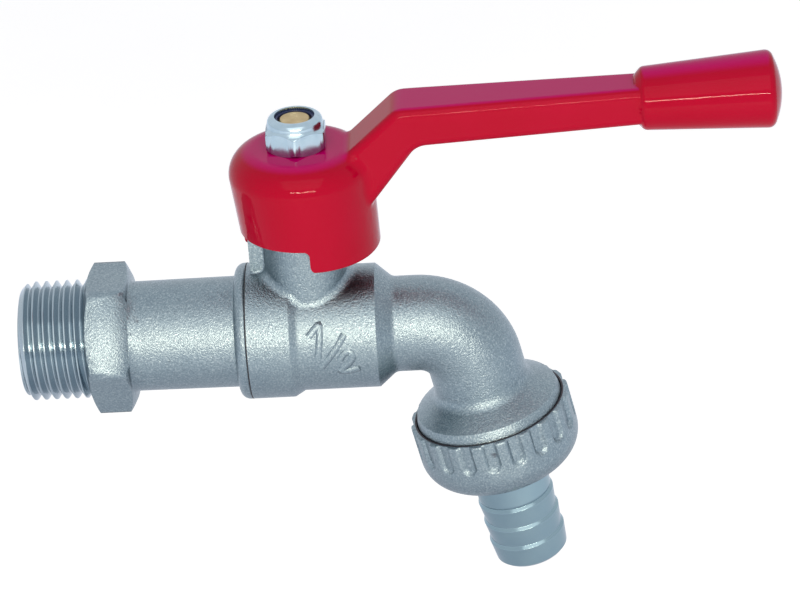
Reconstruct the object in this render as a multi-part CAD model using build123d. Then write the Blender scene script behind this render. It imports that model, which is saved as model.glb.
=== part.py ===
from build123d import *
import os
from math import atan2, cos, degrees, radians, sin, sqrt, tan

# A lever ball valve tap with a hose union, in millimetres.
# The origin is on the pipe axis at the shoulder behind the inlet thread.
# +X runs along the pipe to the spout, +Z up along the stem, and the lever lies open along +X.

# Inlet tail
inlet_thread_radius = 10.48
inlet_thread_length = 11.6
inlet_thread_chamfer = 1.2
inlet_bore_radius = 7.0
hexagon_across_flats = 23.0
hexagon_length = 7.6
hexagon_front_chamfer = 1.1
hexagon_rear_chamfer = 1.1
hexagon_rear_shoulder = 1.4
hexagon_bevel_start = 5.1
beveled_flats = (150, 330)
flange_step = 2.21
tube_flare = 0.12
tube_length = 18.45
flange_width = 2.15
flange_edge = 1.7

# Ball, seats and their housing
ball_radius = 8.0
ball_bore_radius = 4.75
ball_slot_width = 3.6
ball_slot_depth = 2.0
seat_overlap = 0.2
seat_inner_radius = 5.0
seat_back_inset = 0.4
spigot_to_stem_collar = 0.3
seat_running_gap = 0.03
seat_pocket_gap = 0.05
spigot_wall = 1.75
spigot_gap = 0.05
spigot_end_gap = 0.1
socket_wall = 1.93
chamber_gap = 0.5
housing_wall = 2.4
seam_to_stem = 10.7
socket_land = 1.7
housing_step = 1.8
housing_step_round = 0.8
housing_length = 11.7
shoulder_length = 2.9
shoulder_edge = 0.5
shoulder_round = 1.6

# Spout, elbow and outlet
spout_radius = 8.4
spout_bore_radius = 6.2
spout_taper_length = 3.0
stem_to_bend = 26.64
bend_radius = 10.0
bend_angle = 77.8
bend_to_rim = 17.5
collar_height = 4.4
collar_foot_round = 2.5
collar_edge_radius = 12.7
collar_edge_round = 0.4
collar_rim_height = 1.6
collar_rim_radius = 13.15
collar_rim_depth = 0.5
outlet_thread_radius = 12.62
outlet_thread_end = 6.2
outlet_thread_chamfer = 0.8

# Stem, packing and gland
stem_radius = 3.9
stem_running_gap = 0.05
stem_collar_step = 0.9
stem_collar_height = 1.6
stem_above_ball = 0.3
tang_gap = 0.1
tang_length = 7.4
thrust_washer_height = 0.8
stem_land_height = 1.5
packing_width = 1.5
packing_height = 2.0
packing_gap = 0.03
gland_thread_length = 5.8
gland_thread_gap = 0.04
gland_head_height = 3.2
gland_across_flats = 12.0
boss_wall = 1.8
boss_foot_round = 1.8
square_across_flats = 6.2
square_gap = 0.05
stud_radius = 2.95
stud_chamfer = 0.5
stud_below_nut_top = 0.5

# Stop lug and lever
lug_half_width = 1.3
lug_foot_round = 0.5
lug_engagement = 1.05
lug_top_gap = 0.6
stop_gap = 0.2
notch_inner_round = 1.0
tongue_round = 1.5
skirt_gap = 1.5
skirt_wall = 3.9
skirt_taper = 0.75
hub_foot_shift = 1.4
skirt_over_boss = 5.5
notch_over_boss = 1.2
hub_above_gland = 4.8
hub_web = 5.3
hub_edge_round = 4.6
skirt_edge_round = 0.7
crank_foot_inset = 4.0
crank_top_reach = 4.65
crank_rise = 7.75
crank_underside_inset = 1.6
crank_underside_drop = 11.5
bar_reach = 7.9
bar_drop = 0.7
bar_length = 38.1
bar_end_top = 8.85
bar_end_underside = 2.2
crank_top_round = 4.0
crank_underside_round = 3.5
crank_foot_round = 2.5
bar_width = 10.7
bar_end_width = 8.8
bar_edge_round = 1.5
grip_overlap = 1.0
grip_height = 5.55
grip_slope = 1.7
grip_shoulder_length = 1.4
grip_shoulder_step = 1.5
grip_neck_radius = 5.43
grip_neck_round = 1.2
grip_tip_radius = 6.78
grip_length = 24.9
grip_edge_round = 1.4
grip_dome_height = 1.8

# Lock nut on the stem
nut_across_flats = 10.0
nut_height = 5.7
nut_hexagon_height = 3.9
nut_chamfer = 0.7
nut_collar_radius = 4.75
nut_collar_round = 1.1
nut_mouth_radius = 3.45
nut_lip = 0.5
nut_hole_gap = 0.03
insert_radius = 3.9
insert_height = 1.5
insert_gap = 0.02

# Union nut, hose tail and washer
union_wall = 1.1
union_rim_gap = 0.1
union_mouth_gap = 0.2
union_mouth_depth = 1.1
union_thread_gap = 0.08
union_thread_end = 8.0
union_floor = 2.15
union_round = 5.2
union_edge = 0.4
notch_count = 20
notch_width = 2.3
notch_depth = 0.6
notch_length = 5.6
notch_phase = 1.6
hose_washer_height = 2.4
hose_washer_radius = 10.6
tail_flange_radius = 10.6
tail_flange_height = 1.6
tail_flange_gap = 0.3
tail_neck_radius = 6.7
tail_neck_gap = 0.3
tail_bore_radius = 5.0
barb_crest_radius = 6.95
barb_valley_radius = 6.55
barb_count = 3
barb_pitch = 4.0
barb_shoulder = 0.5
first_barb = 8.8
tail_tip_length = 4.3
tail_tip_round = 0.6

# Stations along the pipe
flange_face = hexagon_length + tube_length
seam = flange_face + flange_width
stem_x = seam + seam_to_stem
elbow_x = stem_x + stem_to_bend
bend_tangent = bend_radius * tan(radians(bend_angle / 2))
bend_start = elbow_x - bend_tangent

# Radii that follow from the ball outwards
seat_radius = ball_radius + seat_overlap
seat_pocket_radius = seat_radius + seat_pocket_gap
spigot_radius = seat_pocket_radius + spigot_wall
socket_radius = spigot_radius + spigot_gap
flange_radius = socket_radius + socket_wall
tube_end_radius = flange_radius - flange_step
tube_radius = tube_end_radius - tube_flare
chamber_radius = ball_radius + chamber_gap
housing_radius = chamber_radius + housing_wall

# Radii that follow from the stem outwards
stem_bore_radius = stem_radius + stem_running_gap
stem_collar_radius = stem_radius + stem_collar_step
collar_pocket_radius = stem_collar_radius + stem_running_gap
packing_radius = stem_radius + packing_width
boss_radius = packing_radius + boss_wall
skirt_inner_radius = boss_radius + skirt_gap
hub_radius = skirt_inner_radius + skirt_wall
lug_reach = skirt_inner_radius + lug_engagement
crank_foot = hub_radius - crank_foot_inset
crank_top = hub_radius + crank_top_reach
crank_underside_foot = hub_radius - crank_underside_inset
bar_start = hub_radius + bar_reach
bar_end = bar_start + bar_length
grip_start = bar_end - grip_overlap

# Distances from the stem axis to the seats and to the ends of the housing
seat_face = stem_collar_radius + spigot_to_stem_collar
seat_back_step = ball_radius - seat_back_inset
socket_end = stem_x - seat_face + spigot_end_gap
seat_pocket_end = stem_x + seat_back_step
housing_step_start = socket_end + socket_land
housing_end = stem_x + housing_length
shoulder_end = housing_end + shoulder_length

# Heights up the stem
collar_bottom = ball_radius + stem_above_ball
collar_top = collar_bottom + stem_collar_height
thrust_top = collar_top + thrust_washer_height
packing_bottom = thrust_top + stem_land_height
packing_middle = packing_bottom + packing_height
packing_top = packing_middle + packing_height
boss_top = packing_top + gland_thread_length
gland_top = boss_top + gland_head_height
hub_ceiling = gland_top + hub_above_gland
hub_top = hub_ceiling + hub_web
nut_top = hub_top + nut_height
notch_ceiling = boss_top - notch_over_boss
skirt_bottom = boss_top - skirt_over_boss
lug_top = notch_ceiling - lug_top_gap

# Stations along the outlet axis, measured from the collar's rim
outlet_start = bend_tangent - bend_to_rim
union_rim = union_rim_gap
union_mouth_radius = collar_rim_radius + union_mouth_gap
union_outer_radius = union_mouth_radius + union_wall
union_thread_radius = outlet_thread_radius + union_thread_gap
washer_end = outlet_thread_end + hose_washer_height
flange_end = washer_end + tail_flange_height
union_bottom = flange_end + union_floor
union_recess_radius = tail_flange_radius + tail_flange_gap
barb_start = flange_end + first_barb
tail_tip = barb_start + (barb_count - 1) * barb_pitch + tail_tip_length

# Places: the pipe axis, the stem axis and the outlet axis, each with its own +Z along the axis
outlet_direction = Vector(cos(radians(bend_angle)), 0, -sin(radians(bend_angle)))
outlet_across = Vector(sin(radians(bend_angle)), 0, cos(radians(bend_angle)))
pipe_place = Plane(origin=(0, 0, 0), x_dir=(0, 1, 0), z_dir=(1, 0, 0)).location
stem_place = Location((stem_x, 0, 0))
outlet_origin = Vector(elbow_x, 0, 0) + outlet_direction * bend_to_rim
outlet_place = Plane(origin=outlet_origin, x_dir=outlet_across, z_dir=outlet_direction).location


def outlined(corners):
    """A flat face from corners (x, y) or (x, y, radius), where a radius rounds that corner."""
    face = make_face(Polyline(*[corner[:2] for corner in corners], close=True))
    for corner in corners:
        if len(corner) == 3:
            vertex = face.vertices().sort_by_distance(Vector(*corner[:2]))[0]
            face = fillet(vertex, corner[2])
    return face


def turned(corners):
    """A solid of revolution about Z from an outline of (radius, height) corners."""
    return revolve(Plane.XZ * outlined(corners), Axis.Z)


def rod(radius, bottom, top):
    """A plain round bar about Z from one height to another."""
    return Pos(0, 0, bottom) * Cylinder(radius, top - bottom, align=(Align.CENTER, Align.CENTER, Align.MIN))


def ring(outer, inner, bottom, top):
    """A plain round ring about Z."""
    return rod(outer, bottom, top) - rod(inner, bottom, top)


def hexagon(across_flats, bottom, top, angle=0):
    """A hexagon bar about Z, with a corner on +X turned by an angle."""
    outline = RegularPolygon(across_flats / 2, 6, major_radius=False, rotation=angle)
    return Pos(0, 0, bottom) * extrude(outline, top - bottom)


def make_inlet_tail():
    """Threaded end, hexagon, tube and flange, with the spigot that screws into the body."""
    corner_radius = hexagon_across_flats / sqrt(3)
    spigot_end = stem_x - seat_face
    seat_back = stem_x - seat_back_step
    barrel = turned([
        (0, -inlet_thread_length),
        (inlet_thread_radius - inlet_thread_chamfer, -inlet_thread_length),
        (inlet_thread_radius, inlet_thread_chamfer - inlet_thread_length),
        (inlet_thread_radius, 0),
        (tube_radius, 0),
        (tube_radius, hexagon_length),
        (tube_end_radius, flange_face),
        (flange_radius, flange_face, flange_edge),
        (flange_radius, seam),
        (spigot_radius, seam),
        (spigot_radius, spigot_end),
        (0, spigot_end),
    ])
    chamfers = turned([
        (0, 0),
        (inlet_thread_radius, 0),
        (corner_radius, hexagon_front_chamfer),
        (corner_radius, hexagon_length - hexagon_rear_chamfer),
        (tube_radius + hexagon_rear_shoulder, hexagon_length),
        (0, hexagon_length),
    ])
    nut = hexagon(hexagon_across_flats, 0, hexagon_length) & chamfers
    flat_height = hexagon_across_flats / 2
    bevel_length = hexagon_length - hexagon_bevel_start
    bevel_tilt = degrees(atan2(flat_height - tube_radius, bevel_length))
    bevel_height = 2 * hexagon_length
    bevel = Box(flat_height, 2 * corner_radius, bevel_height, align=(Align.MIN, Align.CENTER, Align.CENTER))
    bevel = Pos(flat_height, 0, hexagon_bevel_start) * Rot(0, -bevel_tilt, 0) * bevel
    nut = nut - [Rot(0, 0, angle) * bevel for angle in beveled_flats]
    bore = turned([
        (0, -inlet_thread_length),
        (inlet_bore_radius, -inlet_thread_length),
        (inlet_bore_radius, seam),
        (seat_inner_radius, seat_back),
        (seat_pocket_radius, seat_back),
        (seat_pocket_radius, spigot_end),
        (0, spigot_end),
    ])
    return pipe_place * (barrel + nut - bore)


def make_valve_body():
    """The casting: ball housing, stem boss and lug, elbow, collar and outlet thread, with its waterway."""
    boss = stem_place * rod(boss_radius, 0, boss_top)
    housing = pipe_place * turned([
        (0, seam),
        (flange_radius, seam),
        (flange_radius, housing_step_start, housing_step_round),
        (housing_radius, housing_step_start + housing_step),
        (housing_radius, housing_end),
        (0, housing_end),
    ])
    core = boss + housing
    core = fillet(new_edges(boss, housing, combined=core), boss_foot_round)
    lug = stem_place * Pos(-lug_reach / 2, 0, lug_top / 2) * Box(lug_reach, 2 * lug_half_width, lug_top)
    lugged = core + lug
    core = fillet(new_edges(core, lug, combined=lugged), lug_foot_round)
    shoulder = pipe_place * turned([
        (0, housing_end - shoulder_length),
        (housing_radius, housing_end - shoulder_length),
        (housing_radius, housing_end, shoulder_edge),
        (spout_radius, shoulder_end, shoulder_round),
        (spout_radius, bend_start),
        (0, bend_start),
    ])
    bend_axis = Axis((bend_start, 0, -bend_radius), (0, 1, 0))
    bend_plane = Plane(origin=(bend_start, 0, 0), x_dir=(0, 1, 0), z_dir=(1, 0, 0))
    elbow = revolve(bend_plane * Circle(spout_radius), bend_axis, bend_angle)
    outlet = outlet_place * turned([
        (0, outlet_start),
        (spout_radius, outlet_start),
        (spout_radius, -collar_height, collar_foot_round),
        (collar_edge_radius, -collar_rim_height, collar_edge_round),
        (collar_rim_radius, 0),
        (collar_rim_radius, collar_rim_depth),
        (outlet_thread_radius, collar_rim_depth),
        (outlet_thread_radius, outlet_thread_end - outlet_thread_chamfer),
        (outlet_thread_radius - outlet_thread_chamfer, outlet_thread_end),
        (0, outlet_thread_end),
    ])
    waterway = pipe_place * turned([
        (0, seam),
        (socket_radius, seam),
        (socket_radius, socket_end),
        (chamber_radius, socket_end),
        (chamber_radius, stem_x + seat_face),
        (seat_pocket_radius, stem_x + seat_face),
        (seat_pocket_radius, seat_pocket_end),
        (seat_inner_radius, seat_pocket_end),
        (spout_bore_radius, seat_pocket_end + spout_taper_length),
        (spout_bore_radius, bend_start),
        (0, bend_start),
    ])
    bend_bore = revolve(bend_plane * Circle(spout_bore_radius), bend_axis, bend_angle)
    outlet_bore = outlet_place * rod(spout_bore_radius, outlet_start, outlet_thread_end)
    stem_bore = stem_place * turned([
        (0, 0),
        (collar_pocket_radius, 0),
        (collar_pocket_radius, thrust_top),
        (stem_bore_radius, thrust_top),
        (stem_bore_radius, packing_bottom),
        (packing_radius, packing_bottom),
        (packing_radius, boss_top),
        (0, boss_top),
    ])
    casting = core + shoulder + elbow + outlet
    return casting - waterway - bend_bore - outlet_bore - stem_bore


def make_ball():
    """A bored ball, slotted across its top for the stem's tang."""
    slot_floor = ball_radius - ball_slot_depth
    slot = Pos(0, 0, slot_floor) * Box(
        ball_slot_width, 2 * ball_radius, ball_radius, align=(Align.CENTER, Align.CENTER, Align.MIN)
    )
    bore = Rot(0, 90, 0) * Cylinder(ball_bore_radius, 2 * ball_radius)
    return stem_place * (Sphere(ball_radius) - bore - slot)


def make_seat(side):
    """A soft ring with a spherical face, on the inlet side (-1) or the outlet side (+1) of the ball."""
    blank = ring(seat_radius, seat_inner_radius, seat_face, seat_back_step)
    seat = blank - Sphere(ball_radius + seat_running_gap)
    return stem_place * Rot(0, side * 90, 0) * seat


def make_stem():
    """A turned stem with a tang, a collar that keeps it in, a square for the lever and a stud."""
    tang_bottom = ball_radius - ball_slot_depth + tang_gap
    bar = turned([
        (0, collar_bottom),
        (stem_collar_radius, collar_bottom),
        (stem_collar_radius, collar_top),
        (stem_radius, collar_top),
        (stem_radius, hub_ceiling),
        (0, hub_ceiling),
    ])
    tang_width = ball_slot_width - 2 * tang_gap
    tang = Pos(0, 0, tang_bottom) * Box(
        tang_width, tang_length, collar_bottom - tang_bottom, align=(Align.CENTER, Align.CENTER, Align.MIN)
    )
    square = Pos(0, 0, hub_ceiling) * Box(
        square_across_flats, square_across_flats, hub_web, align=(Align.CENTER, Align.CENTER, Align.MIN)
    )
    square = square & rod(stem_radius, hub_ceiling, hub_top)
    stud_top = nut_top - stud_below_nut_top
    stud = turned([
        (0, hub_top),
        (stud_radius, hub_top),
        (stud_radius, stud_top - stud_chamfer),
        (stud_radius - stud_chamfer, stud_top),
        (0, stud_top),
    ])
    return stem_place * (bar + tang + square + stud)


def make_stem_ring(outer, bottom, top):
    """A soft ring round the stem, with a running gap."""
    return stem_place * ring(outer, stem_bore_radius, bottom, top)


def make_gland_nut():
    """A threaded sleeve that presses on the packing, with a hexagon head above the boss."""
    sleeve = rod(packing_radius - gland_thread_gap, packing_top, boss_top)
    head = hexagon(gland_across_flats, boss_top, gland_top)
    return stem_place * (sleeve + head - rod(stem_bore_radius, packing_top, gland_top))


def make_lever_handle():
    """One casting: a skirted hub with a stop notch, a cranked arm, a tapering bar and a round grip."""
    skirt_depth = hub_top - skirt_bottom
    hub_foot = Plane((hub_foot_shift, 0, -skirt_depth), x_dir=(-1, 0, 0)) * Circle(hub_radius - skirt_taper)
    hub_head = Plane((0, 0, 0), x_dir=(-1, 0, 0)) * Circle(hub_radius)
    hub = loft([hub_foot, hub_head])
    hub = fillet(hub.edges().sort_by(Axis.Z)[-1], hub_edge_round)
    hub = fillet(hub.edges().sort_by(Axis.Z)[0], skirt_edge_round)
    crank_slope = crank_rise / (crank_top - crank_foot)
    root = crank_foot - hub_web / 2
    side = outlined([
        (root, (root - crank_foot) * crank_slope),
        (crank_top, crank_rise, crank_top_round),
        (bar_end, bar_end_top),
        (bar_end, bar_end_underside),
        (bar_start, bar_drop, crank_underside_round),
        (crank_underside_foot, -crank_underside_drop),
    ])
    plan = outlined([
        (0, bar_width / 2),
        (bar_start, bar_width / 2),
        (bar_end, bar_end_width / 2),
        (bar_end, -bar_end_width / 2),
        (bar_start, -bar_width / 2),
        (0, -bar_width / 2),
    ])
    arm = extrude(Plane.XZ * side, bar_width, both=True)
    arm = arm & Pos(0, 0, -skirt_depth) * extrude(plan, 2 * skirt_depth)
    long_edges = [edge for edge in arm.edges() if edge.bounding_box().size.X > bar_edge_round]
    outer_edges = [edge for edge in long_edges if abs(edge.center().Y) > bar_end_width / 2 - bar_edge_round]
    arm = fillet(outer_edges, bar_edge_round)
    joined = hub + arm
    joined = fillet(new_edges(hub, arm, combined=joined), crank_foot_round)
    dome_radius = (grip_tip_radius ** 2 + grip_dome_height ** 2) / (2 * grip_dome_height)
    grip = turned([
        (0, 0),
        (grip_neck_radius - grip_shoulder_step, 0),
        (grip_neck_radius, grip_shoulder_length, grip_neck_round),
        (grip_tip_radius, grip_length),
        (0, grip_length),
    ])
    grip = grip & Pos(0, 0, grip_length - dome_radius) * Sphere(dome_radius)
    grip = fillet(grip.edges().sort_by(SortBy.LENGTH)[-1], grip_edge_round)
    grip = Pos(grip_start, 0, grip_height) * Rot(0, 90 - grip_slope, 0) * grip
    cavity = rod(skirt_inner_radius, -skirt_depth, -hub_web)
    square_side = square_across_flats + 2 * square_gap
    square_hole = Box(square_side, square_side, 2 * hub_web)
    square_hole = square_hole & rod(stem_radius + square_gap, -hub_web, hub_web)
    notch_corner = lug_half_width + stop_gap
    notch_top = notch_ceiling - hub_top
    notch_side = outlined([
        (-2 * hub_radius, notch_top),
        (notch_corner, notch_top, notch_inner_round),
        (notch_corner, -skirt_depth, tongue_round),
        (hub_radius, -skirt_depth),
        (hub_radius, -2 * skirt_depth),
        (-2 * hub_radius, -2 * skirt_depth),
    ])
    notch = Pos(0, notch_corner, 0) * extrude(Plane.XZ * notch_side, 2 * hub_radius)
    lever = joined + grip - cavity - square_hole - notch
    return stem_place * Pos(0, 0, hub_top) * lever


def make_handle_nut():
    """A lock nut: a chamfered hexagon under a round collar that is rolled over the soft insert."""
    corner_radius = nut_across_flats / sqrt(3)
    hexagon_top = hub_top + nut_hexagon_height
    chamfers = turned([
        (0, hub_top),
        (nut_across_flats / 2, hub_top),
        (corner_radius, hub_top + nut_chamfer),
        (corner_radius, hexagon_top - nut_chamfer),
        (nut_collar_radius, hexagon_top),
        (0, hexagon_top),
    ])
    body = hexagon(nut_across_flats, hub_top, hexagon_top, 90) & chamfers
    collar = turned([
        (0, hub_top),
        (nut_collar_radius, hub_top),
        (nut_collar_radius, nut_top, nut_collar_round),
        (0, nut_top),
    ])
    insert_top = nut_top - nut_lip
    hole = turned([
        (0, hub_top),
        (stud_radius + nut_hole_gap, hub_top),
        (stud_radius + nut_hole_gap, insert_top - insert_height),
        (insert_radius + insert_gap, insert_top - insert_height),
        (insert_radius + insert_gap, insert_top),
        (nut_mouth_radius, insert_top),
        (nut_mouth_radius, nut_top),
        (0, nut_top),
    ])
    return stem_place * (body + collar - hole)


def make_nut_insert():
    """The soft ring that grips the stud."""
    insert_top = nut_top - nut_lip
    return stem_place * ring(insert_radius, stud_radius + insert_gap, insert_top - insert_height, insert_top)


def make_union_nut():
    """A deep nut with grip notches round its rim and a floor that holds the hose tail's flange."""
    blank = turned([
        (union_mouth_radius, union_rim),
        (union_outer_radius, union_rim, union_edge),
        (union_outer_radius, union_bottom, union_round),
        (tail_neck_radius + tail_neck_gap, union_bottom),
        (tail_neck_radius + tail_neck_gap, flange_end),
        (union_recess_radius, flange_end),
        (union_recess_radius, union_thread_end),
        (union_thread_radius, union_thread_end),
        (union_thread_radius, union_rim + union_mouth_depth),
        (union_mouth_radius, union_rim + union_mouth_depth),
    ])
    straight = notch_length - notch_width / 2
    notch_floor = union_outer_radius - notch_depth
    bar = Box(2 * notch_depth, notch_width, straight, align=(Align.MIN, Align.CENTER, Align.MIN))
    end = Pos(0, 0, straight) * Rot(0, 90, 0) * Cylinder(
        notch_width / 2, 2 * notch_depth, align=(Align.CENTER, Align.CENTER, Align.MIN)
    )
    cutter = Pos(notch_floor, 0, 0) * (bar + end)
    pitch = 360 / notch_count
    cutters = [Rot(0, 0, notch_phase + index * pitch) * cutter for index in range(notch_count)]
    return outlet_place * (blank - cutters)


def make_hose_tail():
    """A turned tail with a flange, a plain neck and barbs that point back up the hose."""
    outline = [
        (tail_bore_radius, washer_end),
        (tail_flange_radius, washer_end),
        (tail_flange_radius, flange_end),
        (tail_neck_radius, flange_end),
        (tail_neck_radius, barb_start - 2 * barb_shoulder),
        (barb_valley_radius, barb_start - barb_shoulder),
    ]
    for index in range(barb_count):
        crest = barb_start + index * barb_pitch
        outline.append((barb_crest_radius, crest))
        if index < barb_count - 1:
            outline.append((barb_valley_radius, crest + barb_pitch - barb_shoulder))
    outline.append((barb_valley_radius, tail_tip, tail_tip_round))
    outline.append((tail_bore_radius, tail_tip))
    return outlet_place * turned(outline)


def make_hose_washer():
    """The rubber ring between the outlet's end and the hose tail's flange."""
    return outlet_place * ring(hose_washer_radius, tail_bore_radius, outlet_thread_end, washer_end)


pieces = {
    "inlet_tail": make_inlet_tail(),
    "valve_body": make_valve_body(),
    "ball": make_ball(),
    "inlet_seat": make_seat(-1),
    "outlet_seat": make_seat(1),
    "stem": make_stem(),
    "thrust_washer": make_stem_ring(stem_collar_radius, collar_top, thrust_top),
    "packing_ring_lower": make_stem_ring(packing_radius - packing_gap, packing_bottom, packing_middle),
    "packing_ring_upper": make_stem_ring(packing_radius - packing_gap, packing_middle, packing_top),
    "gland_nut": make_gland_nut(),
    "lever_handle": make_lever_handle(),
    "handle_nut": make_handle_nut(),
    "nut_insert": make_nut_insert(),
    "union_nut": make_union_nut(),
    "hose_tail": make_hose_tail(),
    "hose_washer": make_hose_washer(),
}

os.makedirs("parts", exist_ok=True)
for name, piece in pieces.items():
    export_step(piece, f"parts/{name}.step")
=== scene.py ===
import math

import bmesh
import bpy
from mathutils import Matrix, Vector


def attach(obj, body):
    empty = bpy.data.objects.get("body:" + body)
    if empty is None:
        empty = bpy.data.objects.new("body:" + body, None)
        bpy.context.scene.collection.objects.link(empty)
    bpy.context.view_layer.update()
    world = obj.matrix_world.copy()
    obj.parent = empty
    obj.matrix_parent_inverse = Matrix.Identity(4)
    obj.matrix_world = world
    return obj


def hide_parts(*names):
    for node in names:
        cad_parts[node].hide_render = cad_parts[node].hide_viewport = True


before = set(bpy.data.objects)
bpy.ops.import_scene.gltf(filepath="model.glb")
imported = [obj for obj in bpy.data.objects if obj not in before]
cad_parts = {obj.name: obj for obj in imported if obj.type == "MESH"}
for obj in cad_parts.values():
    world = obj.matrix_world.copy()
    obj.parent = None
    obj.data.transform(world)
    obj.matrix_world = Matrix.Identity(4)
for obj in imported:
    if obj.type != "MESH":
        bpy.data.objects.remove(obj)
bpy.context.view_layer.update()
mm = 0.001


# Inlet tail: a forged brass blank, blasted and nickel-plated, with hexagon, tube and flange.
# Its G 1/2 thread is cut on a lathe after forging, so it is brighter than the rest.
# It screws into the valve body up to the flange.
def linear(code):
    """The linear colour of an sRGB hex value."""
    channels = [int(code[i:i + 2], 16) / 255 for i in (1, 3, 5)]
    return [c / 12.92 if c <= 0.04045 else ((c + 0.055) / 1.055) ** 2.4 for c in channels] + [1]


def add(tree, kind, settings, inputs):
    """A node with its settings, and its inputs set to values or linked to other nodes' outputs."""
    node = tree.nodes.new(kind)
    for name, value in settings.items():
        setattr(node, name, value)
    for name, value in inputs.items():
        if isinstance(value, bpy.types.NodeSocket):
            tree.links.new(value, node.inputs[name])
        else:
            node.inputs[name].default_value = value
    return node


def start_material(name):
    """A new material, with its node tree and its shader."""
    material = bpy.data.materials.new(name)
    material.use_nodes = True
    tree = material.node_tree
    return material, tree, tree.nodes["Principled BSDF"]


def smoothed(node, crease, unwanted=None):
    """A CAD node's mesh, copied and joined, without unwanted faces, and smooth up to the crease angle."""
    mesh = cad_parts[node].data.copy()
    work = bmesh.new()
    work.from_mesh(mesh)
    bmesh.ops.remove_doubles(work, verts=work.verts, dist=0.001 * mm)
    if unwanted:
        taken = [face for face in work.faces if unwanted(face.calc_center_median())]
        bmesh.ops.delete(work, geom=taken, context="FACES")
    work.to_mesh(mesh)
    work.free()
    mesh.shade_smooth()
    mesh.set_sharp_from_angle(angle=math.radians(crease))
    piece = bpy.data.objects.new(node + "_look", mesh)
    bpy.context.scene.collection.objects.link(piece)
    weighting = piece.modifiers.new("Weighted normals", "WEIGHTED_NORMAL")
    weighting.mode = "FACE_AREA_WITH_ANGLE"
    weighting.keep_sharp = True
    bake(piece)
    return piece


def bake(piece):
    """Replaces a piece's mesh by what its modifiers make of it, and removes them."""
    view = bpy.context.evaluated_depsgraph_get()
    piece.data = bpy.data.meshes.new_from_object(piece.evaluated_get(view))
    piece.modifiers.clear()


def dress(piece, material, body):
    """Gives a finished piece its material and body."""
    piece.data.materials.clear()
    piece.data.materials.append(material)
    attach(piece, body)


# Nickel plate over a blasted casting: grey, satin, with a fine grain that breaks the highlight into specks.
# The grain is drawn at 0.3 mm, about twice the real one, so that it shows. Its pits carry painted shade and its
# tops painted highlights, and a few dull stains lie over it.
blasted_nickel, tree, shader = start_material("nickel plate, blasted")
grain = 0.3 * mm
cloud = 9 * mm
stain = 2.6 * mm
place = add(tree, "ShaderNodeTexCoord", {}, {}).outputs["Object"]
fine = add(tree, "ShaderNodeTexNoise", {}, {"Vector": place, "Scale": 1 / grain, "Detail": 2.0, "Roughness": 0.6})
broad = add(tree, "ShaderNodeTexNoise", {}, {"Vector": place, "Scale": 1 / cloud, "Detail": 3.0})
spots = add(tree, "ShaderNodeTexNoise", {}, {"Vector": place, "Scale": 1 / stain, "Detail": 4.0})
tone = add(tree, "ShaderNodeMix", {"data_type": "RGBA"}, {
    0: broad.outputs["Fac"], 6: linear("#7A8B95"), 7: linear("#8D9DA4"),
}).outputs[2]
# Painted shade in the grain's pits and, below, painted highlights on its tops.
pit_shade = add(tree, "ShaderNodeMapRange", {"interpolation_type": "SMOOTHSTEP"}, {
    "Value": fine.outputs["Fac"], "From Min": 0.5, "From Max": 0.3, "To Max": 0.36,
}).outputs["Result"]
tone = add(tree, "ShaderNodeMix", {"data_type": "RGBA"}, {0: pit_shade, 6: tone, 7: linear("#56626B")}).outputs[2]
painted_glint = add(tree, "ShaderNodeMapRange", {"interpolation_type": "SMOOTHSTEP"}, {
    "Value": fine.outputs["Fac"], "From Min": 0.5, "From Max": 0.7, "To Max": 0.48,
}).outputs["Result"]
tone = add(tree, "ShaderNodeMix", {"data_type": "RGBA"}, {0: painted_glint, 6: tone, 7: linear("#B9C6C9")}).outputs[2]
soiled = add(tree, "ShaderNodeMapRange", {"interpolation_type": "SMOOTHSTEP"}, {
    "Value": spots.outputs["Fac"], "From Min": 0.69, "From Max": 0.84,
}).outputs["Result"]
tone = add(tree, "ShaderNodeMix", {"data_type": "RGBA"}, {0: soiled, 6: tone, 7: linear("#55585F")}).outputs[2]
satin = add(tree, "ShaderNodeMapRange", {}, {
    "Value": broad.outputs["Fac"], "From Min": 0.3, "From Max": 0.7, "To Min": 0.29, "To Max": 0.36,
}).outputs["Result"]
relief = add(tree, "ShaderNodeBump", {}, {
    "Height": fine.outputs["Fac"], "Strength": 0.75, "Distance": 0.15 * mm,
}).outputs["Normal"]
shader.inputs["Metallic"].default_value = 1.0
tree.links.new(tone, shader.inputs["Base Color"])
tree.links.new(satin, shader.inputs["Roughness"])
tree.links.new(relief, shader.inputs["Normal"])

# Nickel plate over cut and turned brass: bright and smooth, with faint tool marks that soften reflections.
# A cut thread is a little paler than turned bar.
smooth_nickel = {}
tool_mark = 0.35 * mm
cloud = 6 * mm
for kind, dark, pale in [("thread-cut", "#94A3AD", "#A9B7BE"), ("turned", "#7D95A2", "#8FA7AE")]:
    smooth_nickel[kind], tree, shader = start_material("nickel plate, " + kind)
    place = add(tree, "ShaderNodeTexCoord", {}, {}).outputs["Object"]
    marks = add(tree, "ShaderNodeTexNoise", {}, {"Vector": place, "Scale": 1 / tool_mark, "Detail": 1.0})
    broad = add(tree, "ShaderNodeTexNoise", {}, {"Vector": place, "Scale": 1 / cloud, "Detail": 3.0})
    tone = add(tree, "ShaderNodeMix", {"data_type": "RGBA"}, {
        0: broad.outputs["Fac"], 6: linear(dark), 7: linear(pale),
    }).outputs[2]
    polish = add(tree, "ShaderNodeMapRange", {}, {
        "Value": broad.outputs["Fac"], "From Min": 0.3, "From Max": 0.7, "To Min": 0.16, "To Max": 0.25,
    }).outputs["Result"]
    relief = add(tree, "ShaderNodeBump", {}, {
        "Height": marks.outputs["Fac"], "Strength": 0.12, "Distance": 0.05 * mm,
    }).outputs["Normal"]
    shader.inputs["Metallic"].default_value = 1.0
    tree.links.new(tone, shader.inputs["Base Color"])
    tree.links.new(polish, shader.inputs["Roughness"])
    tree.links.new(relief, shader.inputs["Normal"])

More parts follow.
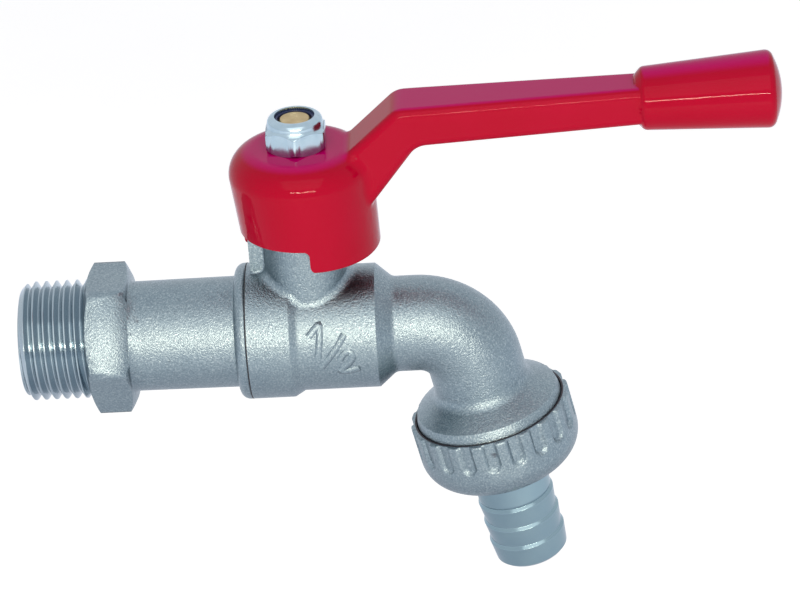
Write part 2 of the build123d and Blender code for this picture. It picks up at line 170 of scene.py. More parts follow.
# The plain core of each thread is taken off its casting, all but the wall of the bore.
cast_crease = 28
inlet_bore = 7.0 * mm
shoulder_margin, bore_margin = 0.02 * mm, 0.1 * mm


def on_inlet_core(point):
    """Whether a point lies on the plain core of the inlet thread."""
    return point.x < -shoulder_margin and math.hypot(point.y, point.z) > inlet_bore + bore_margin


inlet_tail = smoothed("inlet_tail", cast_crease, on_inlet_core)
dress(inlet_tail, blasted_nickel, "valve")
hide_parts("inlet_tail")

# The thread as a surface round +Z from its shoulder to its end: a helical ridge with a chamfered end,
# closed at the shoulder by a narrow ring and at the end by a flat face in to the bore.
# Its rows are shares of the length, a little below 0 for the ring and above 1 for the end face.
ring_row, face_row = -0.02, 1.05
crest_share, root_share = 0.05, 0.45
thread_tree = bpy.data.node_groups.new("screw thread", "GeometryNodeTree")
thread_tree.is_modifier = True
for name, kind in [
    ("Crest Radius", "Float"), ("Depth", "Float"), ("Pitch", "Float"), ("Length", "Float"), ("Chamfer", "Float"),
    ("Bore Radius", "Float"), ("Columns", "Int"), ("Rows", "Int"), ("Material", "Material"),
]:
    thread_tree.interface.new_socket(name, in_out="INPUT", socket_type="NodeSocket" + kind)
thread_tree.interface.new_socket("Thread", in_out="OUTPUT", socket_type="NodeSocketGeometry")
size = add(thread_tree, "NodeGroupInput", {}, {}).outputs
grid = add(thread_tree, "GeometryNodeMeshGrid", {}, {
    "Size X": 1.0, "Size Y": 1.0, "Vertices X": size["Columns"], "Vertices Y": size["Rows"],
}).outputs["Mesh"]
spot = add(thread_tree, "GeometryNodeInputPosition", {}, {}).outputs[0]
spot = add(thread_tree, "ShaderNodeSeparateXYZ", {}, {0: spot}).outputs
turn = add(thread_tree, "ShaderNodeMath", {"operation": "ADD"}, {0: spot["X"], 1: 0.5}).outputs[0]
along = add(thread_tree, "ShaderNodeMapRange", {"clamp": False}, {
    "Value": spot["Y"], "From Min": -0.5, "From Max": 0.5, "To Min": ring_row, "To Max": face_row,
}).outputs["Result"]
height = add(thread_tree, "ShaderNodeMapRange", {}, {
    "Value": along, "From Min": 0.0, "From Max": 1.0, "To Min": 0.0, "To Max": size["Length"],
}).outputs["Result"]
turns = add(thread_tree, "ShaderNodeMath", {"operation": "DIVIDE"}, {0: height, 1: size["Pitch"]}).outputs[0]
phase = add(thread_tree, "ShaderNodeMath", {"operation": "SUBTRACT"}, {0: turns, 1: turn}).outputs[0]
phase = add(thread_tree, "ShaderNodeMath", {"operation": "PINGPONG"}, {0: phase, 1: 0.5}).outputs[0]
flank = add(thread_tree, "ShaderNodeMapRange", {"interpolation_type": "LINEAR"}, {
    "Value": phase, "From Min": crest_share, "From Max": root_share, "To Min": 0.0, "To Max": size["Depth"],
}).outputs["Result"]
ridge = add(thread_tree, "ShaderNodeMath", {"operation": "SUBTRACT"}, {
    0: size["Crest Radius"], 1: flank,
}).outputs[0]
left = add(thread_tree, "ShaderNodeMath", {"operation": "SUBTRACT"}, {0: size["Length"], 1: height}).outputs[0]
small = add(thread_tree, "ShaderNodeMath", {"operation": "SUBTRACT"}, {
    0: size["Crest Radius"], 1: size["Chamfer"],
}).outputs[0]
cone = add(thread_tree, "ShaderNodeMath", {"operation": "ADD"}, {0: small, 1: left}).outputs[0]
radius = add(thread_tree, "ShaderNodeMath", {"operation": "MINIMUM"}, {0: ridge, 1: cone}).outputs[0]
radius = add(thread_tree, "ShaderNodeMapRange", {}, {
    "Value": along, "From Min": ring_row, "From Max": 0.0, "To Min": size["Crest Radius"], "To Max": radius,
}).outputs["Result"]
radius = add(thread_tree, "ShaderNodeMapRange", {}, {
    "Value": along, "From Min": 1.0, "From Max": face_row, "To Min": radius, "To Max": size["Bore Radius"],
}).outputs["Result"]
angle = add(thread_tree, "ShaderNodeMath", {"operation": "MULTIPLY"}, {0: turn, 1: math.tau}).outputs[0]
east = add(thread_tree, "ShaderNodeMath", {"operation": "COSINE"}, {0: angle}).outputs[0]
north = add(thread_tree, "ShaderNodeMath", {"operation": "SINE"}, {0: angle}).outputs[0]
east = add(thread_tree, "ShaderNodeMath", {"operation": "MULTIPLY"}, {0: east, 1: radius}).outputs[0]
north = add(thread_tree, "ShaderNodeMath", {"operation": "MULTIPLY"}, {0: north, 1: radius}).outputs[0]
target = add(thread_tree, "ShaderNodeCombineXYZ", {}, {0: east, 1: north, 2: height}).outputs[0]
shape = add(thread_tree, "GeometryNodeSetPosition", {}, {"Geometry": grid, "Position": target}).outputs[0]
shape = add(thread_tree, "GeometryNodeMergeByDistance", {}, {
    "Geometry": shape, "Distance": 0.002 * mm,
}).outputs[0]
shape = add(thread_tree, "GeometryNodeSetShadeSmooth", {}, {"Geometry": shape}).outputs[0]
shape = add(thread_tree, "GeometryNodeRealizeInstances", {}, {"Geometry": shape}).outputs[0]
shape = add(thread_tree, "GeometryNodeSetMaterial", {}, {
    "Geometry": shape, "Material": size["Material"],
}).outputs[0]
add(thread_tree, "NodeGroupOutput", {}, {"Thread": shape})


def grown(name, tree, values, mesh=None):
    """A piece made by a geometry tree from named values, as a plain mesh."""
    piece = bpy.data.objects.new(name, mesh or bpy.data.meshes.new(name))
    bpy.context.scene.collection.objects.link(piece)
    making = piece.modifiers.new(name, "NODES")
    making.node_group = tree
    for item in tree.interface.items_tree:
        if item.in_out == "INPUT" and item.name in values:
            making[item.identifier] = values[item.name]
    bake(piece)
    return piece


def placed(piece, across, along, origin):
    """Moves a piece made round +Z onto an axis, in its mesh."""
    across, along = Vector(across).normalized(), Vector(along).normalized()
    turn = Matrix((across, along.cross(across), along)).transposed().to_4x4()
    piece.data.transform(Matrix.Translation(origin) @ turn)


pipe_pitch = 1.814 * mm
inlet_thread = grown("inlet_thread", thread_tree, {
    "Crest Radius": 10.48 * mm, "Depth": 1.16 * mm, "Pitch": pipe_pitch, "Length": 11.6 * mm, "Chamfer": 1.2 * mm,
    "Bore Radius": inlet_bore, "Columns": 145, "Rows": 150, "Material": smooth_nickel["thread-cut"],
})
placed(inlet_thread, (0, 0, 1), (-1, 0, 0), (0, 0, 0))
dress(inlet_thread, smooth_nickel["thread-cut"], "valve")

# Thread sealant: the dark line that squeezed out where the tail's flange meets the body.
# It is a paste that has set hard, in a ring that stands just proud of the joint.
seam_place = 28.2 * mm
seam_radius = 11.98 * mm


def spun(name, outline, columns):
    """A closed ring round +Z from an outline of (radius, height) corners."""
    work = bmesh.new()
    rings = []
    for index in range(columns):
        angle = math.tau * index / columns
        rings.append([work.verts.new((r * math.cos(angle), r * math.sin(angle), z)) for r, z in outline])
    for index in range(columns):
        here, there = rings[index], rings[(index + 1) % columns]
        for step in range(len(outline)):
            after = (step + 1) % len(outline)
            work.faces.new((here[step], there[step], there[after], here[after]))
    bmesh.ops.recalc_face_normals(work, faces=work.faces)
    mesh = bpy.data.meshes.new(name)
    work.to_mesh(mesh)
    work.free()
    mesh.shade_smooth()
    piece = bpy.data.objects.new(name, mesh)
    bpy.context.scene.collection.objects.link(piece)
    return piece


# Set sealant: near black and dull, a little crumbly.
sealant, tree, shader = start_material("thread sealant, set")
crumb_size = 1.2 * mm
place = add(tree, "ShaderNodeTexCoord", {}, {}).outputs["Object"]
crumb = add(tree, "ShaderNodeTexNoise", {}, {"Vector": place, "Scale": 1 / crumb_size, "Detail": 2.0})
tone = add(tree, "ShaderNodeMix", {"data_type": "RGBA"}, {
    0: crumb.outputs["Fac"], 6: linear("#17151A"), 7: linear("#332E33"),
}).outputs[2]
tree.links.new(tone, shader.inputs["Base Color"])
shader.inputs["Roughness"].default_value = 0.7

bead = 0.075 * mm
proud = 0.02 * mm
seam_line = spun("seam_sealant", [
    (seam_radius - bead, -bead), (seam_radius + proud / 2, -bead), (seam_radius + proud, 0),
    (seam_radius + proud / 2, bead), (seam_radius - bead, bead),
], columns=160)
placed(seam_line, (0, 0, 1), (1, 0, 0), (seam_place, 0, 0))
dress(seam_line, sealant, "valve")

# Valve body: one brass casting, blasted and nickel-plated, with the ball housing, boss, lug, elbow and collar.
# The outlet thread is cut afterwards, so its plain core is taken off this copy and a real thread put there.
outlet_rim = Vector((69.238, 0, -17.105)) * mm
outlet_axis = Vector((0.21132, 0, -0.97742)).normalized()
outlet_across = Vector((0.97742, 0, 0.21132)).normalized()
spout_bore = 6.2 * mm
outlet_thread_start = 0.5 * mm


def on_outlet_core(point):
    """Whether a point lies on the plain core of the outlet thread."""
    offset = point - outlet_rim
    height = offset.dot(outlet_axis)
    reach = (offset - outlet_axis * height).length
    return height > outlet_thread_start + shoulder_margin and reach > spout_bore + bore_margin


valve_body = smoothed("valve_body", cast_crease, on_outlet_core)
dress(valve_body, blasted_nickel, "valve")
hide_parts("valve_body")

outlet_thread = grown("outlet_thread", thread_tree, {
    "Crest Radius": 12.62 * mm, "Depth": 1.16 * mm, "Pitch": pipe_pitch, "Length": 5.7 * mm, "Chamfer": 0.8 * mm,
    "Bore Radius": spout_bore, "Columns": 145, "Rows": 80, "Material": smooth_nickel["thread-cut"],
})
placed(outlet_thread, outlet_across, outlet_axis, outlet_rim + outlet_axis * outlet_thread_start)
dress(outlet_thread, smooth_nickel["thread-cut"], "valve")

# Size numerals: raised in the mould on the front of the housing, so they are part of the casting.
# Each stroke is a soft bead that is sunk into the wall. Points are mm along the pipe and degrees up the front.
housing_radius = 10.9 * mm
stroke_radius = 0.95 * mm
sunk = 0.64 * mm
numeral_strokes = {
    "one": [
        (38.95, 19.5), (39.8, 25.5), (40.85, 30.5), (40.85, 30.5), (40.85, 19.5), (40.6, 8.0), (40.35, -1.3),
    ],
    "bar": [(45.15, 20.7), (43.72, 8.2), (42.2, -2.4), (40.77, -11.7)],
    "two": [
        (44.05, -4.8), (44.75, 2.8), (45.95, 4.0), (46.48, -1.2), (45.8, -7.9), (44.08, -17.2), (44.08, -17.2),
        (45.56, -18.5), (47.41, -14.2),
    ],
}
lettering = bpy.data.curves.new("size_numerals", "CURVE")
lettering.dimensions = "3D"
lettering.bevel_depth = stroke_radius
lettering.bevel_resolution = 3
lettering.resolution_u = 6
lettering.use_fill_caps = True
for points in numeral_strokes.values():
    stroke = lettering.splines.new("NURBS")
    stroke.points.add(len(points) - 1)
    for point, (along, rise) in zip(stroke.points, points):
        reach = housing_radius - sunk
        rise = math.radians(rise)
        point.co = (along * mm, -reach * math.cos(rise), reach * math.sin(rise), 1)
    stroke.order_u = 3
    stroke.use_endpoint_u = True
size_numerals = bpy.data.objects.new("size_numerals", lettering)
bpy.context.scene.collection.objects.link(size_numerals)
view = bpy.context.evaluated_depsgraph_get()
numeral_mesh = bpy.data.meshes.new_from_object(size_numerals.evaluated_get(view))
bpy.data.objects.remove(size_numerals)
size_numerals = bpy.data.objects.new("size_numerals", numeral_mesh)
bpy.context.scene.collection.objects.link(size_numerals)
numeral_mesh.shade_smooth()
dress(size_numerals, blasted_nickel, "valve")


# Ball, seats, stem and packing: the works inside, as they come from the lathe and the press.
# The ball is hard-chromed brass, the stem and gland plain brass, and the soft rings are PTFE.
def finish_node(name, material):
    """Gives a CAD node that stays its material."""
    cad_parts[name].material_slots[0].material = material


# Polished hard chrome: a mirror with a slight haze.
chrome, tree, shader = start_material("hard chrome, polished")
haze_size = 4 * mm
place = add(tree, "ShaderNodeTexCoord", {}, {}).outputs["Object"]
haze = add(tree, "ShaderNodeTexNoise", {}, {"Vector": place, "Scale": 1 / haze_size, "Detail": 3.0})
polish = add(tree, "ShaderNodeMapRange", {}, {"Value": haze.outputs["Fac"], "To Min": 0.04, "To Max": 0.10})
shader.inputs["Base Color"].default_value = linear("#C4CACE")
shader.inputs["Metallic"].default_value = 1.0
tree.links.new(polish.outputs["Result"], shader.inputs["Roughness"])
finish_node("ball", chrome)

# Turned brass: pale yellow, satin, with blotches of tarnish.
brass, tree, shader = start_material("brass, turned")
blotch = 1.5 * mm
place = add(tree, "ShaderNodeTexCoord", {}, {}).outputs["Object"]
tarnish = add(tree, "ShaderNodeTexNoise", {}, {"Vector": place, "Scale": 1 / blotch, "Detail": 4.0})
tone = add(tree, "ShaderNodeMix", {"data_type": "RGBA"}, {
    0: tarnish.outputs["Fac"], 6: linear("#A1885A"), 7: linear("#CFBB8E"),
}).outputs[2]
relief = add(tree, "ShaderNodeBump", {}, {
    "Height": tarnish.outputs["Fac"], "Strength": 0.2, "Distance": 0.05 * mm,
}).outputs["Normal"]
shader.inputs["Metallic"].default_value = 1.0
shader.inputs["Roughness"].default_value = 0.32
tree.links.new(tone, shader.inputs["Base Color"])
tree.links.new(relief, shader.inputs["Normal"])
for name in ("stem", "gland_nut"):
    finish_node(name, brass)

# Sintered PTFE: white and waxy, faintly mottled.
ptfe, tree, shader = start_material("PTFE, sintered")
mottle_size = 0.8 * mm
place = add(tree, "ShaderNodeTexCoord", {}, {}).outputs["Object"]
mottle = add(tree, "ShaderNodeTexNoise", {}, {"Vector": place, "Scale": 1 / mottle_size, "Detail": 2.0})
tone = add(tree, "ShaderNodeMix", {"data_type": "RGBA"}, {
    0: mottle.outputs["Fac"], 6: linear("#E4E4DF"), 7: linear("#F2F2EE"),
}).outputs[2]
tree.links.new(tone, shader.inputs["Base Color"])
shader.inputs["Roughness"].default_value = 0.45
for name in ("inlet_seat", "outlet_seat", "thrust_washer", "packing_ring_lower", "packing_ring_upper"):
    finish_node(name, ptfe)

# Lever: one zinc casting with a skirted hub, a cranked arm and a round grip, dipped in red enamel.
# The enamel is thick and glossy, so it rounds every edge and shows a faint orange peel.
# Where it faces up, the red is painted with a violet reflection. Its specular level is low, so that the red stays
# deep.
red_enamel, tree, shader = start_material("red enamel, dipped")
peel = 2.4 * mm
flow = 14 * mm
place = add(tree, "ShaderNodeTexCoord", {}, {}).outputs["Object"]
skin = add(tree, "ShaderNodeTexNoise", {}, {"Vector": place, "Scale": 1 / peel, "Detail": 1.0})
pool = add(tree, "ShaderNodeTexNoise", {}, {"Vector": place, "Scale": 1 / flow, "Detail": 2.0})
tone = add(tree, "ShaderNodeMix", {"data_type": "RGBA"}, {
    0: pool.outputs["Fac"], 6: linear("#A90024"), 7: linear("#B30030"),
}).outputs[2]
# Painted reflection: faces that point up are tinted violet.
facing = add(tree, "ShaderNodeNewGeometry", {}, {}).outputs["Normal"]
painted_top_reflection = add(tree, "ShaderNodeSeparateXYZ", {}, {0: facing}).outputs["Z"]
painted_top_reflection = add(tree, "ShaderNodeMapRange", {"interpolation_type": "SMOOTHSTEP"}, {
    "Value": painted_top_reflection, "From Min": 0.82, "From Max": 0.99,
}).outputs["Result"]
tone = add(tree, "ShaderNodeMix", {"data_type": "RGBA"}, {0: painted_top_reflection, 6: tone, 7: linear("#BE0064")}).outputs[2]
relief = add(tree, "ShaderNodeBump", {}, {
    "Height": skin.outputs["Fac"], "Strength": 0.05, "Distance": 0.2 * mm,
}).outputs["Normal"]
tree.links.new(tone, shader.inputs["Base Color"])
tree.links.new(relief, shader.inputs["Normal"])
shader.inputs["Roughness"].default_value = 0.035
shader.inputs["IOR"].default_value = 1.5
shader.inputs["Specular IOR Level"].default_value = 0.1

lever_crease = 30
lever = smoothed("lever_handle", lever_crease)
dress(lever, red_enamel, "lever")
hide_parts("lever_handle")

# Lock nut: a cold-formed steel nut with a rolled collar, zinc-plated in a barrel, on the stem's stud.
# A nylon ring under the collar grips the thread. The plate is bluish and bright, with dull patches.
zinc, tree, shader = start_material("zinc plate, bright")
patch = 1.8 * mm
place = add(tree, "ShaderNodeTexCoord", {}, {}).outputs["Object"]
bloom = add(tree, "ShaderNodeTexNoise", {}, {"Vector": place, "Scale": 1 / patch, "Detail": 3.0})
tone = add(tree, "ShaderNodeMix", {"data_type": "RGBA"}, {
    0: bloom.outputs["Fac"], 6: linear("#9AB0BD"), 7: linear("#BCD0DA"),
}).outputs[2]
polish = add(tree, "ShaderNodeMapRange", {}, {"Value": bloom.outputs["Fac"], "To Min": 0.12, "To Max": 0.30})
relief = add(tree, "ShaderNodeBump", {}, {
    "Height": bloom.outputs["Fac"], "Strength": 0.15, "Distance": 0.08 * mm,
}).outputs["Normal"]
shader.inputs["Metallic"].default_value = 1.0
tree.links.new(tone, shader.inputs["Base Color"])
tree.links.new(polish.outputs["Result"], shader.inputs["Roughness"])
tree.links.new(relief, shader.inputs["Normal"])
lock_nut = smoothed("handle_nut", cast_crease)
dress(lock_nut, zinc, "lever")
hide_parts("handle_nut")

# Dyed nylon: dark blue and half dull, scuffed by the stud.
nylon, tree, shader = start_material("nylon, dyed")
scuff_size = 0.9 * mm
place = add(tree, "ShaderNodeTexCoord", {}, {}).outputs["Object"]
scuff = add(tree, "ShaderNodeTexNoise", {}, {"Vector": place, "Scale": 1 / scuff_size, "Detail": 3.0})
tone = add(tree, "ShaderNodeMix", {"data_type": "RGBA"}, {
    0: scuff.outputs["Fac"], 6: linear("#151B3C"), 7: linear("#2C3768"),
}).outputs[2]
tree.links.new(tone, shader.inputs["Base Color"])
shader.inputs["Roughness"].default_value = 0.4
finish_node("nut_insert", nylon)

# Hose tail: turned from brass bar and nickel-plated, with a flange inside the union nut and three barbs.
# The barbs point back up the hose, and each crest is a fine rounded edge.
flange_top, flange_bottom = 8.6 * mm, 10.2 * mm
flange_radius = 10.6 * mm
neck_radius = 6.7 * mm
tail_bore = 5.0 * mm
crest_radius, valley_radius = 6.95 * mm, 6.55 * mm
first_crest, barb_pitch, barb_count = 19.0 * mm, 4.0 * mm, 3
barb_shoulder = 0.5 * mm
tail_tip, tip_round = 31.3 * mm, 0.6 * mm
outline = [
    (tail_bore, flange_top), (flange_radius, flange_top), (flange_radius, flange_bottom),
    (neck_radius, flange_bottom), (neck_radius, first_crest - 2 * barb_shoulder),
    (valley_radius, first_crest - barb_shoulder),
]
for index in range(barb_count):
    crest = first_crest + index * barb_pitch
    outline.append((crest_radius, crest))
    if index < barb_count - 1:
        outline.append((valley_radius, crest + barb_pitch - barb_shoulder))
outline += [(valley_radius, tail_tip - tip_round), (valley_radius - tip_round, tail_tip), (tail_bore, tail_tip)]
edge_break, edge_angle = 0.07 * mm, 10
hose_tail = spun("hose_tail_look", outline, columns=128)
edges = hose_tail.modifiers.new("Broken edges", "BEVEL")
edges.width = edge_break
edges.segments = 3
edges.limit_method = "ANGLE"
edges.angle_limit = math.radians(edge_angle)
edges.harden_normals = True
bake(hose_tail)
placed(hose_tail, outlet_across, outlet_axis, outlet_rim)
dress(hose_tail, smooth_nickel["turned"], "tail")
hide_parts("hose_tail")

# Hose washer: a ring of moulded rubber between the outlet and the hose tail's flange. The CAD node stays.
# The rubber is black and matt, with a greyish bloom.
rubber, tree, shader = start_material("rubber, moulded")
bloom_size = 1.1 * mm
place = add(tree, "ShaderNodeTexCoord", {}, {}).outputs["Object"]
bloom = add(tree, "ShaderNodeTexNoise", {}, {"Vector": place, "Scale": 1 / bloom_size, "Detail": 2.0})
tone = add(tree, "ShaderNodeMix", {"data_type": "RGBA"}, {
    0: bloom.outputs["Fac"], 6: linear("#161616"), 7: linear("#2A2A2A"),
}).outputs[2]
tree.links.new(tone, shader.inputs["Base Color"])
shader.inputs["Roughness"].default_value = 0.6
finish_node("hose_washer", rubber)

# Union nut: a cast brass nut, blasted and nickel-plated, with grip notches that run out below the rim.
# The notches are cast, so their edges are soft.
union_rim, union_bottom = 0.1 * mm, 12.35 * mm
union_radius, union_round = 14.45 * mm, 5.2 * mm
mouth_radius, mouth_depth = 13.35 * mm, 1.1 * mm
nut_thread_radius, nut_thread_end = 12.70 * mm, 8.0 * mm
recess_radius = 10.9 * mm
neck_hole = 7.0 * mm
rim_edge = 0.4 * mm
wall_rows = 26
round_rows = 14
# Width of the ring of painted shade round the nut's mouth.
mouth_shade_width = 0.3 * mm
outline = [
    (mouth_radius, union_rim), (mouth_radius + mouth_shade_width, union_rim), (union_radius - rim_edge, union_rim),
]
outline += [(union_radius - rim_edge * (1 - math.sin(t)), union_rim + rim_edge * (1 - math.cos(t)))
            for t in (math.pi / 8, math.pi / 4, math.pi * 3 / 8)]
wall_top, wall_bottom = union_rim + rim_edge, union_bottom - union_round
outline += [(union_radius, wall_top + (wall_bottom - wall_top) * i / wall_rows) for i in range(wall_rows + 1)]
outline += [(union_radius - union_round * (1 - math.cos(t)), wall_bottom + union_round * math.sin(t))
            for t in (math.pi / 2 * i / round_rows for i in range(1, round_rows + 1))]
outline += [
    (neck_hole, union_bottom), (neck_hole, flange_bottom), (recess_radius, flange_bottom),
    (recess_radius, nut_thread_end), (nut_thread_radius, nut_thread_end),
    (nut_thread_radius, union_rim + mouth_depth), (mouth_radius, union_rim + mouth_depth),
]
notch_count, columns_per_notch = 20, 18
nut_crease = 40
plain_nut = spun("plain_union_nut", outline, notch_count * columns_per_notch)

notch_tree = bpy.data.node_groups.new("grip notches", "GeometryNodeTree")
notch_tree.is_modifier = True
notch_tree.interface.new_socket("Plain Nut", in_out="INPUT", socket_type="NodeSocketGeometry")
for name, kind in [
    ("Notch Count", "Float"), ("First Angle", "Float"), ("Width", "Float"), ("Depth", "Float"),
    ("Straight Length", "Float"), ("Edge Softness", "Float"), ("Outer Radius", "Float"), ("Material", "Material"),
]:
    notch_tree.interface.new_socket(name, in_out="INPUT", socket_type="NodeSocket" + kind)
notch_tree.interface.new_socket("Notched Nut", in_out="OUTPUT", socket_type="NodeSocketGeometry")
size = add(notch_tree, "NodeGroupInput", {}, {}).outputs
point = add(notch_tree, "GeometryNodeInputPosition", {}, {}).outputs[0]
spot = add(notch_tree, "ShaderNodeSeparateXYZ", {}, {0: point}).outputs
angle = add(notch_tree, "ShaderNodeMath", {"operation": "ARCTAN2"}, {0: spot["Y"], 1: spot["X"]}).outputs[0]
angle = add(notch_tree, "ShaderNodeMath", {"operation": "SUBTRACT"}, {0: angle, 1: size["First Angle"]}).outputs[0]
pitch = add(notch_tree, "ShaderNodeMath", {"operation": "DIVIDE"}, {0: math.pi, 1: size["Notch Count"]}).outputs[0]
aside = add(notch_tree, "ShaderNodeMath", {"operation": "PINGPONG"}, {0: angle, 1: pitch}).outputs[0]
aside = add(notch_tree, "ShaderNodeMath", {"operation": "MULTIPLY"}, {0: aside, 1: size["Outer Radius"]}).outputs[0]
past = add(notch_tree, "ShaderNodeMath", {"operation": "SUBTRACT"}, {
    0: spot["Z"], 1: size["Straight Length"],
}).outputs[0]
past = add(notch_tree, "ShaderNodeMath", {"operation": "MAXIMUM"}, {0: past, 1: 0.0}).outputs[0]
gap = add(notch_tree, "ShaderNodeCombineXYZ", {}, {0: aside, 1: past}).outputs[0]
gap = add(notch_tree, "ShaderNodeVectorMath", {"operation": "LENGTH"}, {0: gap}).outputs["Value"]
half = add(notch_tree, "ShaderNodeMath", {"operation": "MULTIPLY"}, {0: size["Width"], 1: 0.5}).outputs[0]
inner = add(notch_tree, "ShaderNodeMath", {"operation": "SUBTRACT"}, {0: half, 1: size["Edge Softness"]}).outputs[0]
outer = add(notch_tree, "ShaderNodeMath", {"operation": "ADD"}, {0: half, 1: size["Edge Softness"]}).outputs[0]
sink = add(notch_tree, "ShaderNodeMapRange", {"interpolation_type": "SMOOTHSTEP"}, {
    "Value": gap, "From Min": inner, "From Max": outer, "To Min": size["Depth"], "To Max": 0.0,
}).outputs["Result"]
flat = add(notch_tree, "ShaderNodeCombineXYZ", {}, {0: spot["X"], 1: spot["Y"]}).outputs[0]
reach = add(notch_tree, "ShaderNodeVectorMath", {"operation": "LENGTH"}, {0: flat}).outputs["Value"]
floor_radius = add(notch_tree, "ShaderNodeMath", {"operation": "SUBTRACT"}, {
    0: size["Outer Radius"], 1: size["Depth"],
}).outputs[0]
spare = add(notch_tree, "ShaderNodeMath", {"operation": "SUBTRACT"}, {0: reach, 1: floor_radius}).outputs[0]
spare = add(notch_tree, "ShaderNodeMath", {"operation": "MAXIMUM"}, {0: spare, 1: 0.0}).outputs[0]
sink = add(notch_tree, "ShaderNodeMath", {"operation": "MINIMUM"}, {0: sink, 1: spare}).outputs[0]
inward = add(notch_tree, "ShaderNodeVectorMath", {"operation": "NORMALIZE"}, {0: flat}).outputs[0]
sink = add(notch_tree, "ShaderNodeMath", {"operation": "MULTIPLY"}, {0: sink, 1: -1.0}).outputs[0]
shift = add(notch_tree, "ShaderNodeVectorMath", {"operation": "SCALE"}, {0: inward, "Scale": sink}).outputs[0]
shape = add(notch_tree, "GeometryNodeSetPosition", {}, {
    "Geometry": size["Plain Nut"], "Offset": shift,
}).outputs[0]
shape = add(notch_tree, "GeometryNodeRealizeInstances", {}, {"Geometry": shape}).outputs[0]
shape = add(notch_tree, "GeometryNodeSetMaterial", {}, {
    "Geometry": shape, "Material": size["Material"],
}).outputs[0]
add(notch_tree, "NodeGroupOutput", {}, {"Notched Nut": shape})

union_nut = grown("union_nut_look", notch_tree, {
    "Notch Count": float(notch_count), "First Angle": math.radians(1.6), "Width": 2.3 * mm, "Depth": 0.6 * mm,
    "Straight Length": 4.45 * mm, "Edge Softness": 0.34 * mm, "Outer Radius": union_radius,
    "Material": blasted_nickel,
}, plain_nut.data)
bpy.data.objects.remove(plain_nut)
union_nut.data.set_sharp_from_angle(angle=math.radians(nut_crease))
dress(union_nut, blasted_nickel, "nut")
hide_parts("union_nut")

# Painted shade in the nut's mouth: a dark, dull, matt ring against the collar that stands for the shadow in the
# gap.
mouth_shade, tree, shader = start_material("nickel plate, painted mouth shade")
shade_mottle_size = 0.7 * mm
place = add(tree, "ShaderNodeTexCoord", {}, {}).outputs["Object"]
shade_mottle = add(tree, "ShaderNodeTexNoise", {}, {"Vector": place, "Scale": 1 / shade_mottle_size, "Detail": 3.0})
tone = add(tree, "ShaderNodeMix", {"data_type": "RGBA"}, {
    0: shade_mottle.outputs["Fac"], 6: linear("#1B181F"), 7: linear("#443C46"),
}).outputs[2]
tree.links.new(tone, shader.inputs["Base Color"])
shader.inputs["Roughness"].default_value = 0.6
union_nut.data.materials.append(mouth_shade)
# The faces in the nut's mouth get the painted shade.
for face in union_nut.data.polygons:
    reach = math.hypot(face.center.x, face.center.y)
    if reach < mouth_radius + mouth_shade_width and face.center.z < nut_thread_end / 2:
        face.material_index = 1
placed(union_nut, outlet_across, outlet_axis, outlet_rim)

# Studio: a white paper floor well under the tap and even white light from all round.
# A strip lamp in front, lower than the camera, draws the long highlights, and a soft lamp lights from above.
paper, tree, shader = start_material("paper, white")
fibre_size = 30 * mm
place = add(tree, "ShaderNodeTexCoord", {}, {}).outputs["Object"]
fibre = add(tree, "ShaderNodeTexNoise", {}, {"Vector": place, "Scale": 1 / fibre_size, "Detail": 2.0})
tone = add(tree, "ShaderNodeMix", {"data_type": "RGBA"}, {
    0: fibre.outputs["Fac"], 6: linear("#F8F8F8"), 7: linear("#FBFBFB"),
}).outputs[2]
tree.links.new(tone, shader.inputs["Base Color"])
shader.inputs["Roughness"].default_value = 0.9
shader.inputs["Specular IOR Level"].default_value = 0.1


def seen_directly(tree):
    """One for a ray that shows the studio, straight or in a reflection, and zero for one that only lights."""
    path = add(tree, "ShaderNodeLightPath", {}, {}).outputs
    seen = path["Is Camera Ray"]
    for kind in ("Is Glossy Ray", "Is Transmission Ray"):
        seen = add(tree, "ShaderNodeMath", {"operation": "MAXIMUM"}, {0: seen, 1: path[kind]}).outputs[0]
    return seen


# The camera sees the paper lifted to white. Reflections see it shaded, darker and bluer, under the tap.
floor_reach, floor_height = 4.0, -0.1
under_tap = (0.055, 0.01, floor_height)
shade_inner, shade_outer = 50 * mm, 220 * mm
apart = add(tree, "ShaderNodeVectorMath", {"operation": "DISTANCE"}, {0: place, 1: under_tap}).outputs["Value"]
clear = add(tree, "ShaderNodeMapRange", {}, {
    "Value": apart, "From Min": shade_inner, "From Max": shade_outer,
}).outputs["Result"]
mirrored = add(tree, "ShaderNodeMix", {"data_type": "RGBA"}, {
    0: clear, 6: linear("#42597A"), 7: linear("#B2BAC8"),
}).outputs[2]
by_eye = add(tree, "ShaderNodeLightPath", {}, {}).outputs["Is Camera Ray"]
lifted = add(tree, "ShaderNodeMix", {"data_type": "RGBA"}, {
    0: by_eye, 6: mirrored, 7: linear("#B6B6B6"),
}).outputs[2]
tree.links.new(lifted, shader.inputs["Emission Color"])
tree.links.new(seen_directly(tree), shader.inputs["Emission Strength"])
floor_mesh = bpy.data.meshes.new("studio_floor")
floor_mesh.from_pydata([
    (-floor_reach, -floor_reach, floor_height), (floor_reach, -floor_reach, floor_height),
    (floor_reach, floor_reach, floor_height), (-floor_reach, floor_reach, floor_height),
], [], [(0, 1, 2, 3)])
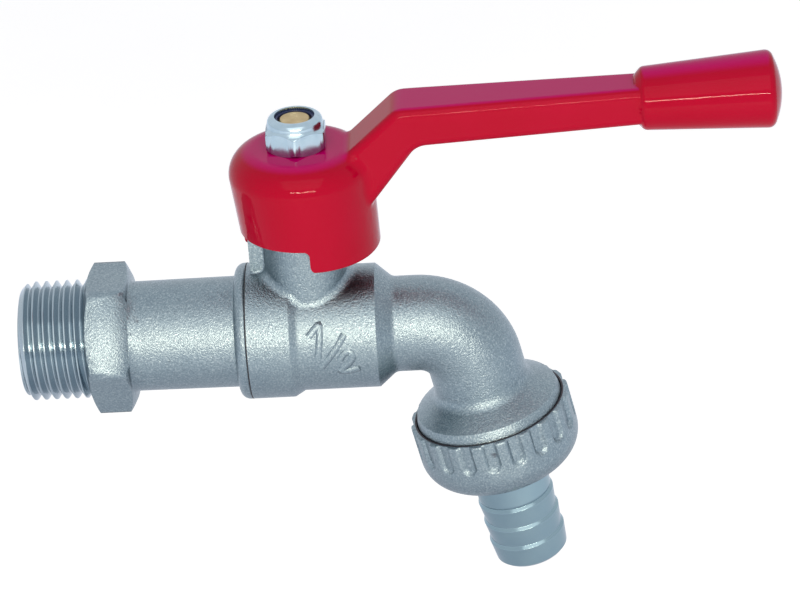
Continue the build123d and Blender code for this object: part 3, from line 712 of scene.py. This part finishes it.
floor_mesh.materials.append(paper)
studio_floor = bpy.data.objects.new("studio_floor", floor_mesh)
bpy.context.scene.collection.objects.link(studio_floor)

# The backdrop is white where it is seen, and lights the tap at half that strength.
world = bpy.data.worlds.new("studio")
world.use_nodes = True
bpy.context.scene.world = world
backdrop = world.node_tree.nodes["Background"]
backdrop.inputs["Color"].default_value = linear("#F8FAFF")
daylight = 0.5
strength = add(world.node_tree, "ShaderNodeMapRange", {}, {
    "Value": seen_directly(world.node_tree), "To Min": daylight, "To Max": 1.0,
}).outputs["Result"]
world.node_tree.links.new(strength, backdrop.inputs["Strength"])

middle = Vector((54.73, 0, 4.62)) * mm


def area_light(name, place, size, watts, colour):
    """A rectangular lamp, width by height in metres, that faces the middle of the tap."""
    light = bpy.data.lights.new(name, "AREA")
    light.shape = "RECTANGLE"
    light.size, light.size_y = size
    light.energy = watts
    light.color = linear(colour)[:3]
    lamp = bpy.data.objects.new(name, light)
    lamp.location = place
    lamp.rotation_euler = (middle - place).to_track_quat("-Z", "Y").to_euler()
    bpy.context.scene.collection.objects.link(lamp)


strip_place = middle + Vector((25, -608, 157)) * mm
soft_place = middle + Vector((25, -480, 480)) * mm
area_light("strip_light", strip_place, size=(0.45, 0.024), watts=2.0, colour="#FFEFD6")
area_light("soft_light", soft_place, size=(0.70, 0.50), watts=1.1, colour="#FFF6EA")

# Camera: where the photograph was taken from, in front and well above, with a slight roll.
# Place, lens and roll were fitted to the diameter of the inlet thread.
camera_place = Vector((74.01, -482.88, 259.37)) * mm
lens = bpy.data.cameras.new("camera")
lens.sensor_width = 36.0
lens.lens = 140.62
lens.clip_start = 0.01
camera = bpy.data.objects.new("camera", lens)
roll = math.radians(3.83)
aim = (middle - camera_place).to_track_quat("-Z", "Y").to_matrix() @ Matrix.Rotation(-roll, 3, "Z")
camera.matrix_world = Matrix.Translation(camera_place) @ aim.to_4x4()
bpy.context.scene.collection.objects.link(camera)
bpy.context.scene.camera = camera
bpy.context.scene.view_settings.view_transform = "Standard"
